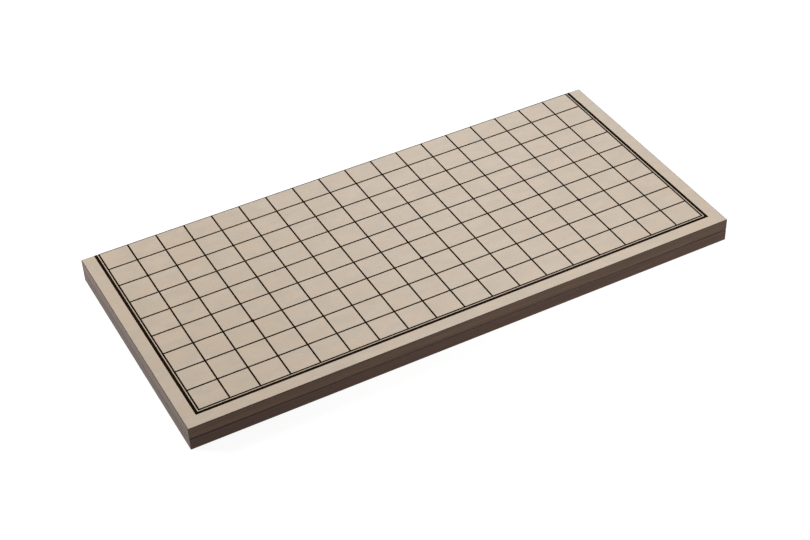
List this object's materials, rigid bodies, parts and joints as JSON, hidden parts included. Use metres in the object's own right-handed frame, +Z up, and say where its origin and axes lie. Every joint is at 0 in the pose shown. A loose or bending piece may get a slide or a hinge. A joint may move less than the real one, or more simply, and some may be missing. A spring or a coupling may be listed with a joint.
{
  "type": "folding gomoku board",
  "caption": "Folding gomoku board: veneered panels with a printed line grid, hinged back to back along the fold with small brass butt hinges.",
  "frame": {"origin": "on the table, under the middle of the folded board: on the printed face of the lower half, midway along the fold and midway between the front edge and the pin axis", "axes": "+X to the right along the fold, +Y from the front edge to the fold, +Z up"},
  "size_m": [0.455, 0.214, 0.0201],
  "materials": {
    "core_board": "raw fibreboard, matt",
    "playing_veneer": "pale maple veneer, satin lacquer",
    "back_veneer": "dark brown stained veneer, satin lacquer",
    "edge_band": "dark brown stained wood band, satin lacquer",
    "grid_ink": "screen-printed brown-black ink, matt",
    "hinge_brass": "pressed brass sheet, satin",
    "pin_steel": "drawn steel wire",
    "screw_brass": "turned brass, slotted head"
  },
  "bodies": {
    "lower_half": {"lower_core": "core_board", "lower_playing_veneer": "playing_veneer", "lower_back_veneer": "back_veneer", "lower_front_edge_band": "edge_band", "lower_fold_edge_band": "edge_band", "lower_left_edge_band": "edge_band", "lower_right_edge_band": "edge_band", "lower_row_print": "grid_ink", "lower_column_print": "grid_ink", "lower_hinge_screws": "screw_brass", "left_hinge_lower_leaf": "hinge_brass", "left_hinge_pin": "pin_steel", "right_hinge_lower_leaf": "hinge_brass", "right_hinge_pin": "pin_steel"},
    "upper_half": {"upper_core": "core_board", "upper_playing_veneer": "playing_veneer", "upper_back_veneer": "back_veneer", "upper_front_edge_band": "edge_band", "upper_fold_edge_band": "edge_band", "upper_left_edge_band": "edge_band", "upper_right_edge_band": "edge_band", "upper_row_print": "grid_ink", "upper_column_print": "grid_ink", "upper_hinge_screws": "screw_brass", "left_hinge_upper_leaf": "hinge_brass", "right_hinge_upper_leaf": "hinge_brass"}
  },
  "joints": [
    {"name": "fold", "type": "hinge", "parent": "lower_half", "child": "upper_half", "pos_m": [0, 0.1061, 0.01006], "axis": [-1, 0, 0], "range_deg": [0, 180]}
  ]
}
